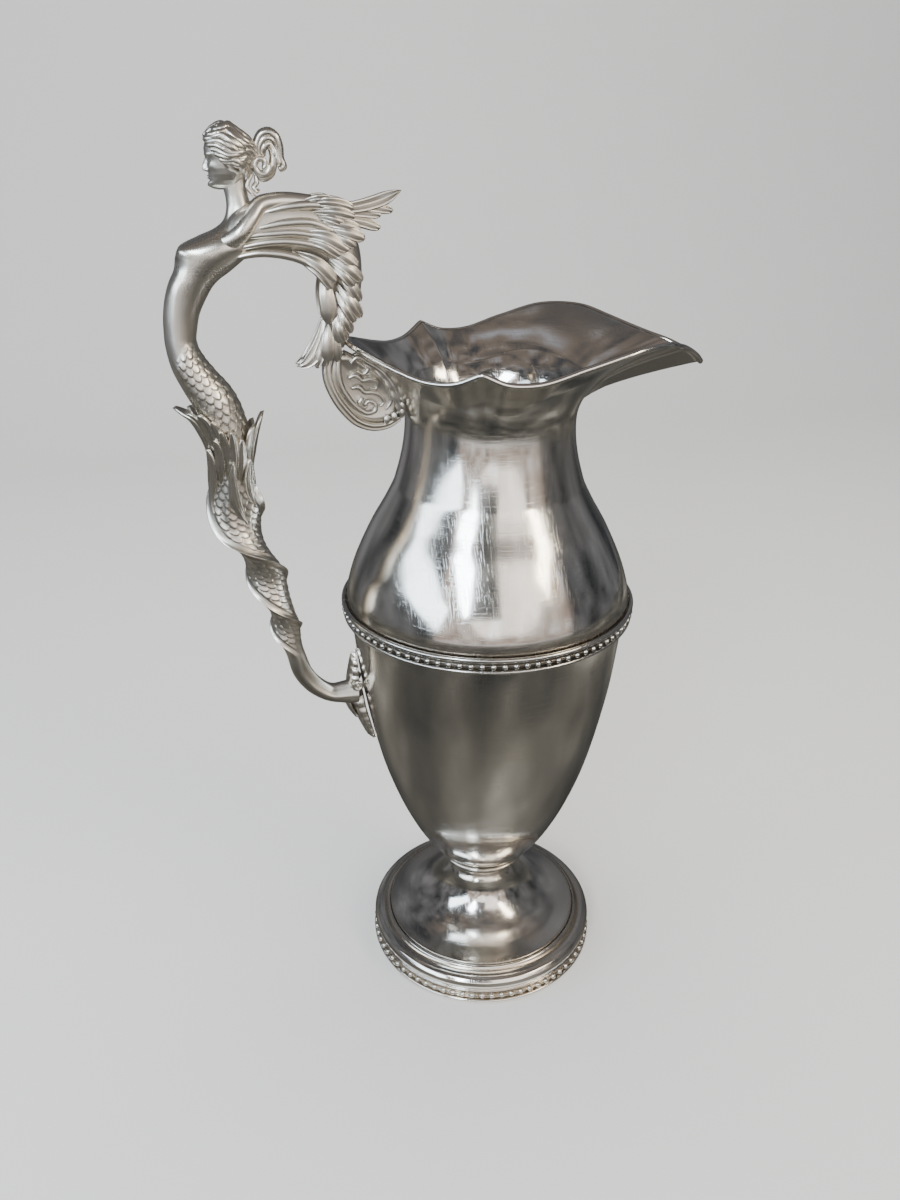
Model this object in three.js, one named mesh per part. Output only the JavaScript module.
// Silver water pitcher on a trumpet foot: a turned bowl, a shoulder and neck that open into a lobed
// mouth with a beak, and a cast handle with a winged half figure whose tail hooks back to the bowl.
// Millimetres, +Z up. The spout points to +X, the handle to -X, and the XZ plane halves the pitcher.
import * as THREE from 'three';
import { ParametricGeometry } from 'three/addons/geometries/ParametricGeometry.js';
import { mergeVertices } from 'three/addons/utils/BufferGeometryUtils.js';

const AXIS_X = 16.15; // from the middle of the whole box to the body's own axis
const GAP = 0.3; // clearance between neighbouring pieces
const WALL = 1.2; // sheet thickness of the spun and raised pieces
const AROUND = 36; // facets round a turned piece
const MOUTH_STEPS = 56; // facets round the mouth

// Foot
const REST_OUTER_R = 56.2;
const REST_INNER_R = 50.5;
const REST_HEIGHT = 2.4;
const FOOT_BEAD_R = 55.0;
const FOOT_BEAD_Z = 4.6;
const FOOT_BEAD_SIZE = 1.5;
const FOOT_BEADS = 73;
const MOULDING_Z = 6.6;
const DISC_R = 47.2;
const DISC_Z = 16.6;
const STEM_TOP_R = 19.0;
const STEM_TOP_Z = 50.4;

// Bowl, shoulder and neck as [radius, height] stations of the outside
const BOWL_STATIONS = [
  [0, 51.6], [14, 51.9], [21.6, 53.6], [30.2, 65], [38.0, 80], [43.9, 95], [50.4, 117],
  [55.0, 140], [58.4, 163], [60.2, 186], [60.4, 192.6],
];
const SHOULDER_STATIONS = [
  [61.8, 193.4], [59.7, 204], [55.3, 216], [50.2, 226], [44.2, 236], [38.4, 249], [34.7, 261], [33.8, 270],
];

// Girdle that covers the seam
const GIRDLE_Z = 189.5;
const GIRDLE_R = 61.4;
const GIRDLE_BEADS = 90;
const GIRDLE_BEAD_SIZE = 1.35;

// Mouth: half of the rim, from the handle to the cusp and from the cusp to the tip of the beak
const BACK_LOBE = [
  [-57.3, 0, 303.6], [-55.4, 9.5, 302.9], [-49.2, 20, 300.2], [-42.0, 30, 297.4],
  [-33.9, 39.7, 295.4], [-25.6, 48.6, 296.3], [-17.8, 55.8, 300.6],
];
const FRONT_LOBE = [
  [-17.8, 55.8, 300.6], [-9, 57.0, 297.0], [0, 57.6, 296.5], [19.9, 58.6, 301.7], [38.5, 57.3, 306.5],
  [53.0, 49.5, 306.9], [62.6, 34.4, 305.4], [69.6, 17.5, 302.4], [80.4, 5.6, 297.4], [91, 0, 289.8],
];
const FLARE_POWER = 2.3; // how late the neck opens out towards the rim
const LIP_WIRE_R = 1.2;
const LIP_SEAT = LIP_WIRE_R + 3 * GAP; // from the middle of the lip wire back to the edge of the sheet

// Handle
const WING_INNER_Y = 5.6;
const WING_THICKNESS = 3.0;
const SPINE = [ // [x, z] down the middle of the figure and its tail, from the neck to the bowl
  [-93.0, 354.6], [-94.2, 350], [-97.2, 343.5], [-103.6, 335], [-112.8, 326], [-117.8, 316], [-118.4, 306],
  [-116.8, 298], [-113.2, 291], [-108.4, 283], [-105.6, 274], [-104.6, 264], [-104.9, 252], [-105, 243],
  [-103.8, 234], [-100.6, 225], [-96.8, 215], [-93.4, 204], [-90, 193], [-88.6, 184], [-85.9, 172],
  [-83, 161.6], [-78, 154.4], [-71.2, 149.8], [-63.0, 149.4], [-57.8, 149.2],
];
const WAIST_FROM = 57; // lengths along the spine where one casting ends and the next begins
const CALYX_FROM = 82;
const TWIST_FROM = 132;
const ARM_FROM = 197;
const HEAD_CENTRE = [-94.6, 0, 367.2];
const HEAD_HALF = [9.2, 7.4, 11.3];

/** Polished silver plate. */
function polishedSilver() {
  return new THREE.MeshStandardMaterial({ color: 0xd9d6cf, roughness: 0.16, metalness: 1 });
}

/** Cast silver, toned down by tarnish. */
function tonedSilver() {
  return new THREE.MeshStandardMaterial({ color: 0xb9b3a4, roughness: 0.3, metalness: 1 });
}

/** Signed volume of an indexed geometry. */
function signedVolume(geometry) {
  const at = geometry.getAttribute('position');
  const index = geometry.getIndex();
  const a = new THREE.Vector3();
  const b = new THREE.Vector3();
  const c = new THREE.Vector3();
  let volume = 0;
  for (let i = 0; i < index.count; i += 3) {
    a.fromBufferAttribute(at, index.getX(i));
    b.fromBufferAttribute(at, index.getX(i + 1));
    c.fromBufferAttribute(at, index.getX(i + 2));
    volume += a.dot(b.cross(c)) / 6;
  }
  return volume;
}

/** Welds the seams, drops collapsed faces and turns every face outwards. */
function seal(source) {
  source.deleteAttribute('normal');
  source.deleteAttribute('uv');
  const geometry = mergeVertices(source, 1e-4);
  const old = geometry.getIndex();
  const kept = [];
  for (let i = 0; i < old.count; i += 3) {
    const [a, b, c] = [old.getX(i), old.getX(i + 1), old.getX(i + 2)];
    if (a !== b && b !== c && c !== a) {
      kept.push(a, b, c);
    }
  }
  geometry.setIndex(kept);
  if (signedVolume(geometry) < 0) {
    const turned = [];
    for (let i = 0; i < kept.length; i += 3) {
      turned.push(kept[i], kept[i + 2], kept[i + 1]);
    }
    geometry.setIndex(turned);
  }
  geometry.computeVertexNormals();
  return geometry;
}

/** Named mesh of one sealed body, moved from the body's axis to the shared frame. */
function piece(name, geometry, material) {
  const sealed = seal(geometry);
  sealed.translate(AXIS_X, 0, 0);
  const mesh = new THREE.Mesh(sealed, material);
  mesh.name = name;
  return mesh;
}

/** Turned solid from a closed outline of [radius, height] points. */
function turned(outline) {
  const points = outline.map(([r, z]) => new THREE.Vector2(r, z));
  const geometry = new THREE.LatheGeometry(points, AROUND);
  return geometry.rotateX(Math.PI / 2);
}

/** Round-section ring at radius r and height z. */
function wireRing(r, z, size) {
  const geometry = new THREE.TorusGeometry(r, size, 5, AROUND);
  return geometry.translate(0, 0, z);
}

/** Ring of a row of beads strung on a thin wire. */
function beadRing(r, z, size, count) {
  const waist = 0.5;
  const at = (u, v, target) => {
    const bead = Math.round(u * count * 2);
    const girth = size * (bead % 2 === 0 ? waist : 1);
    const turn = u * Math.PI * 2;
    const round = v * Math.PI * 2;
    const out = r + girth * Math.cos(round);
    target.set(out * Math.cos(turn), out * Math.sin(turn), z + girth * Math.sin(round));
  };
  return new ParametricGeometry(at, count * 2, 4);
}

/** Inner side of a sheet whose outside is a run of [radius, height] points. */
function innerSide(outside, wall) {
  return outside.map(([r, z], i) => {
    const [r0, z0] = outside[Math.max(i - 1, 0)];
    const [r1, z1] = outside[Math.min(i + 1, outside.length - 1)];
    const length = Math.hypot(r1 - r0, z1 - z0);
    return [Math.max(r - (z1 - z0) / length * wall, 0), z + (r1 - r0) / length * wall];
  });
}

/** Outline of a sheet from its outside run, closed through its inner side. */
function sheetOutline(outside) {
  const inside = innerSide(outside, WALL).reverse();
  return [...outside, ...inside, outside[0]];
}

/** Curve in the handle's plane through [x, z] points. */
function planeCurve(points) {
  return new THREE.CatmullRomCurve3(points.map(([x, z]) => new THREE.Vector3(x, 0, z)), false, 'centripetal');
}

/** Solid bar with flat ends over part of a curve, given in mm; sizes are [half width, half depth]. */
function bar(line, from, to, sizes, steps = 12, sides = 10) {
  const length = line.getLength();
  const girth = new THREE.CatmullRomCurve3(sizes.map(([w, d]) => new THREE.Vector3(w, d, 0)));
  const depthwise = new THREE.Vector3(0, 1, 0);
  const rows = steps + 2;
  const at = (u, v, target) => {
    const row = Math.round(v * rows);
    const share = Math.min(Math.max(row - 1, 0), steps) / steps;
    const place = Math.min((from + (to - from) * share) / length, 1);
    target.copy(line.getPointAt(place));
    if (row > 0 && row < rows) {
      const size = girth.getPoint(share);
      const across = depthwise.clone().cross(line.getTangentAt(place)).normalize();
      target.addScaledVector(across, size.x * Math.cos(u * Math.PI * 2));
      target.addScaledVector(depthwise, size.y * Math.sin(u * Math.PI * 2));
    }
  };
  return new ParametricGeometry(at, sides, rows);
}

/** Bar along the whole of its own curve; stations are [x, z, half width, half depth]. */
function leafBar(stations, steps = 8, sides = 8) {
  const line = planeCurve(stations);
  return bar(line, 0, line.getLength(), stations.map(([, , w, d]) => [w, d]), steps, sides);
}

/** Flat plate in the handle's plane from an outline of [x, z] points, between y0 and y1. */
function plate(outline, y0, y1, divisions = 40) {
  const run = new THREE.SplineCurve(outline.map(([x, z]) => new THREE.Vector2(x, z)));
  const shape = new THREE.Shape(run.getPoints(divisions));
  const geometry = new THREE.ExtrudeGeometry(shape, { depth: y1 - y0, bevelEnabled: false, steps: 1 });
  return geometry.rotateX(Math.PI / 2).translate(0, y1, 0);
}

/** Rim of the mouth as one closed run from the handle round by the beak; u goes from 0 to 1. */
function mouthRun() {
  const half = new THREE.CurvePath();
  for (const lobe of [BACK_LOBE, FRONT_LOBE]) {
    half.add(new THREE.CatmullRomCurve3(lobe.map((p) => new THREE.Vector3(...p)), false, 'centripetal'));
  }
  return (u) => {
    const there = u <= 0.5;
    const point = half.getPointAt(Math.min(there ? u * 2 : (1 - u) * 2, 1)).clone();
    point.y *= there ? 1 : -1;
    return point;
  };
}

/** Shoulder, neck and mouth as one sheet: circles that open out into the lobed rim. */
function upperBody() {
  const rim = mouthRun();
  const [neckR, neckZ] = SHOULDER_STATIONS[SHOULDER_STATIONS.length - 1];
  const flares = [0.26, 0.46, 0.63, 0.77, 0.89, 1];
  const meridian = (edge) => {
    const reach = Math.hypot(edge.x, edge.y);
    const last = 1 - LIP_SEAT / Math.hypot((reach - neckR) * FLARE_POWER, edge.z - neckZ);
    const opening = flares.map((share) => [
      neckR + (reach - neckR) * (share * last) ** FLARE_POWER,
      neckZ + (edge.z - neckZ) * share * last,
    ]);
    const outside = [...SHOULDER_STATIONS, ...opening];
    return [...outside, ...innerSide(outside, WALL).reverse(), outside[0]];
  };
  const rows = (SHOULDER_STATIONS.length + flares.length) * 2;
  const at = (u, v, target) => {
    const edge = rim(u % 1);
    const [r, z] = meridian(edge)[Math.round(v * rows)];
    const reach = Math.hypot(edge.x, edge.y);
    target.set(edge.x / reach * r, edge.y / reach * r, z);
  };
  return new ParametricGeometry(at, MOUTH_STEPS, rows);
}

/** Round wire that finishes the rim of the mouth. */
function lipWire() {
  const rim = mouthRun();
  const step = 0.004;
  const up = new THREE.Vector3(0, 0, 1);
  const at = (u, v, target) => {
    const along = rim((u + step) % 1).sub(rim((u - step + 1) % 1)).normalize();
    const across = up.clone().cross(along).normalize();
    const over = along.clone().cross(across);
    target.copy(rim(u % 1));
    target.addScaledVector(across, LIP_WIRE_R * Math.cos(v * Math.PI * 2));
    target.addScaledVector(over, LIP_WIRE_R * Math.sin(v * Math.PI * 2));
  };
  return new ParametricGeometry(at, MOUTH_STEPS, 6);
}

/** Raised bump of a given reach round a place on the head, as a share of its size. */
function bump(side, height, atHeight, sideReach, heightReach) {
  return Math.exp(-((side / sideReach) ** 2) - ((height - atHeight) / heightReach) ** 2);
}

/** Head that looks to -X: an egg with a plain brow, nose and chin and a cap of hair. */
function figureHead() {
  const [halfX, halfY, halfZ] = HEAD_HALF;
  const at = (u, v, target) => {
    const fall = v * Math.PI;
    const turn = u * Math.PI * 2;
    const side = turn > Math.PI ? turn - Math.PI * 2 : turn;
    const height = Math.cos(fall);
    const nose = 0.16 * bump(side, height, -0.12, 0.2, 0.2);
    const chin = 0.08 * bump(side, height, -0.78, 0.4, 0.14);
    const sockets = 0.05 * bump(Math.abs(side) - 0.42, height, 0.08, 0.2, 0.12);
    const hair = 0.07 * Math.min(Math.max((Math.abs(side) - 0.9) * 3, height * 4 - 1.6, 0), 1);
    const grow = 1 + (nose + chin - sockets) * Math.sin(fall) + hair;
    target.set(
      -Math.cos(side) * Math.sin(fall) * halfX * grow,
      -Math.sin(side) * Math.sin(fall) * halfY * grow,
      height * halfZ * grow,
    );
  };
  return new ParametricGeometry(at, 22, 16).translate(...HEAD_CENTRE);
}

/** Foot: the ring it stands on, bead wire, moulding, trumpet and the collar under the bowl. */
function footPieces(silver) {
  const rest = turned([
    [REST_INNER_R, 0], [REST_OUTER_R, 0], [REST_OUTER_R, REST_HEIGHT], [REST_INNER_R, REST_HEIGHT],
    [REST_INNER_R, 0],
  ]);
  const moulding = turned([
    [DISC_R + GAP, MOULDING_Z], [53.6, MOULDING_Z], [55.2, 7.8], [55.4, 11], [53.8, 13.9], [51.6, 14.4],
    [49.8, 15.2], [48.6, 16.9], [DISC_R + GAP, 16.6], [DISC_R + GAP, MOULDING_Z],
  ]);
  const trumpet = [
    [DISC_R, DISC_Z], [38, 17.7], [30, 20.4], [23, 25], [18.4, 30], [16.2, 35], [15.4, 40],
    [15.7, 44], [16.9, 48], [STEM_TOP_R, STEM_TOP_Z],
  ];
  const collar = wireRing(20.9, 51.75, 0.8);
  return [
    piece('foot_base_ring', rest, silver()),
    piece('foot_bead_wire', beadRing(FOOT_BEAD_R, FOOT_BEAD_Z, FOOT_BEAD_SIZE, FOOT_BEADS), silver()),
    piece('foot_rim_moulding', moulding, silver()),
    piece('pedestal', turned(sheetOutline(trumpet)), silver()),
    piece('stem_collar', collar, silver()),
  ];
}

/** Bowl, girdle strips, and the upper body with its lip wire. */
function bodyPieces(silver) {
  const bowl = turned(sheetOutline(BOWL_STATIONS).slice(0, -1));
  const strip = turned([
    [GIRDLE_R - GAP, GIRDLE_Z - 3.2], [GIRDLE_R + 0.8, GIRDLE_Z - 3.2], [GIRDLE_R + 0.8, GIRDLE_Z + 3.2],
    [GIRDLE_R - GAP, GIRDLE_Z + 3.2], [GIRDLE_R - GAP, GIRDLE_Z - 3.2],
  ]);
  const beadCircle = GIRDLE_R + 0.8 + GAP + GIRDLE_BEAD_SIZE;
  return [
    piece('lower_bowl', bowl, silver()),
    piece('girdle_strip', strip, silver()),
    piece('girdle_upper_wire', wireRing(GIRDLE_R + 2.0, GIRDLE_Z + 2.7, 0.85), silver()),
    piece('girdle_bead_wire', beadRing(beadCircle, GIRDLE_Z, GIRDLE_BEAD_SIZE, GIRDLE_BEADS), silver()),
    piece('girdle_lower_wire', wireRing(GIRDLE_R + 1.8, GIRDLE_Z - 2.5, 0.65), silver()),
    piece('upper_body', upperBody(), silver()),
    piece('lip_wire', lipWire(), silver()),
  ];
}

/** Head, knot of hair, bust and wings. */
function figurePieces(silver) {
  const knot = leafBar([
    [-83.6, 370.5, 1.2, 4.2], [-81.0, 374.2, 1.9, 4.2], [-78.2, 371.4, 2.0, 4.0], [-77.8, 366.4, 1.8, 3.6],
    [-79.4, 362.6, 0.9, 2.0],
  ], 10);
  const bust = bar(planeCurve(SPINE), 0, WAIST_FROM - GAP, [
    [3.6, 3.8], [4.4, 4.8], [7.2, 10.5], [9.4, 11], [8.2, 10], [6.2, 8.2], [5.9, 7.6],
  ], 16, 12);
  const root = [[-88.2, 352.4], [-77, 356.3], [-66, 355.3]];
  const arch = [
    [-58.6, 304.6], [-61.4, 312], [-62.3, 321], [-67, 327.6], [-72, 331.2], [-79, 334.2], [-88.2, 335.2],
    [-88.9, 344], [-88.2, 352.4],
  ];
  const near = [...root, [-57.4, 353.4], [-49.4, 345], [-48.8, 338], [-50.6, 326], [-51, 314], ...arch];
  const far = [...root, [-48, 353], [-34.4, 356.1], [-38.4, 350], [-44, 342], [-48.6, 326], [-51, 314], ...arch];
  const outer = WING_INNER_Y + WING_THICKNESS;
  return [
    piece('figure_head', figureHead(), silver()),
    piece('hair_knot', knot, silver()),
    piece('figure_bust', bust, silver()),
    piece('near_wing', plate(near, -outer, -WING_INNER_Y, 44), silver()),
    piece('far_wing', plate(far, WING_INNER_Y, outer, 44), silver()),
  ];
}

/** Leaves and scroll bracket that carry the wings on the neck. */
function bracketPieces(silver) {
  const column = leafBar([
    [-64.4, 324, 1.6, 3.6], [-63.6, 315, 2.8, 5], [-62.6, 307, 3.0, 5], [-63.0, 299.2, 2.8, 4.6],
  ]);
  const spray = leafBar([
    [-67.8, 310, 0.8, 2.4], [-68.6, 304, 1.4, 3.4], [-71.8, 298.8, 1.6, 3.6], [-75.0, 296, 0.8, 2.4],
  ]);
  const frame = new THREE.SplineCurve([
    [-65.9, 294.6], [-65.6, 288.4], [-63.5, 283.6], [-60.4, 278.3], [-56.3, 273.4], [-51.3, 270], [-46.6, 269.3],
    [-41, 270.3], [-35.8, 272.8], [-36.0, 278], [-37.9, 283.4], [-41.4, 288.6], [-46.2, 292.9], [-52.4, 295.9],
    [-60, 297.4], [-65.9, 294.6],
  ].map(([x, z]) => new THREE.Vector2(x, z))).getPoints(44);
  const middle = new THREE.Vector2(-50.6, 284);
  const shrink = (share) => frame.map((p) => middle.clone().lerp(p, share));
  const ring = new THREE.Shape(frame);
  ring.holes.push(new THREE.Path(shrink(0.72)));
  const scroll = new THREE.ExtrudeGeometry(ring, { depth: 10, bevelEnabled: false, steps: 1 });
  const relief = new THREE.ExtrudeGeometry(new THREE.Shape(shrink(0.68)), { depth: 7, bevelEnabled: false, steps: 1 });
  return [
    piece('leaf_column', column, silver()),
    piece('leaf_spray', spray, silver()),
    piece('upper_bracket', scroll.rotateX(Math.PI / 2).translate(0, 5, 0), silver()),
    piece('bracket_relief', relief.rotateX(Math.PI / 2).translate(0, 3.5, 0), silver()),
  ];
}

/** Scaled waist, leaf calyx, twisted tail, plain arm and the two leaves soldered to the bowl. */
function tailPieces(silver) {
  const spine = planeCurve(SPINE);
  const waist = bar(spine, WAIST_FROM, CALYX_FROM - GAP, [[5.9, 7.6], [6.4, 8], [7.6, 8.6], [8.6, 9]], 8, 12);
  const calyx = bar(spine, CALYX_FROM, TWIST_FROM - GAP, [
    [11, 10.6], [10.2, 10.4], [8.6, 9.2], [8.6, 8.6], [10, 8.2], [9.8, 7.8],
  ], 12, 12);
  const twist = bar(spine, TWIST_FROM, ARM_FROM - GAP, [
    [9.7, 7.8], [7.6, 7.2], [7.4, 6.8], [7.2, 6.4], [5.6, 5.8], [5.8, 5.4], [4.6, 4.8],
  ], 16);
  const arm = bar(spine, ARM_FROM, spine.getLength(), [[4.6, 4.8], [4.2, 4.6], [3.8, 4.4], [3.7, 4.4], [4.4, 4.6]]);
  const upperLeaf = leafBar([[-59.8, 154.4, 1.2, 5.6], [-61.0, 161, 1.2, 5.2], [-62.0, 170.2, 0.6, 1.4]], 6);
  const lowerLeaf = leafBar([
    [-58.4, 144.2, 1.2, 5.0], [-57.4, 138, 1.2, 5.4], [-55.9, 131, 1.0, 4.2], [-53.9, 124, 0.6, 1.2],
  ], 7);
  return [
    piece('scaled_waist', waist, silver()),
    piece('leaf_calyx', calyx, silver()),
    piece('twisted_tail', twist, silver()),
    piece('hook_arm', arm, silver()),
    piece('mount_upper_leaf', upperLeaf, silver()),
    piece('mount_lower_leaf', lowerLeaf, silver()),
  ];
}

const pitcher = new THREE.Group();
pitcher.name = 'silver_water_pitcher';
pitcher.add(
  ...footPieces(polishedSilver),
  ...bodyPieces(polishedSilver),
  ...figurePieces(tonedSilver),
  ...bracketPieces(tonedSilver),
  ...tailPieces(tonedSilver),
);

export default pitcher;
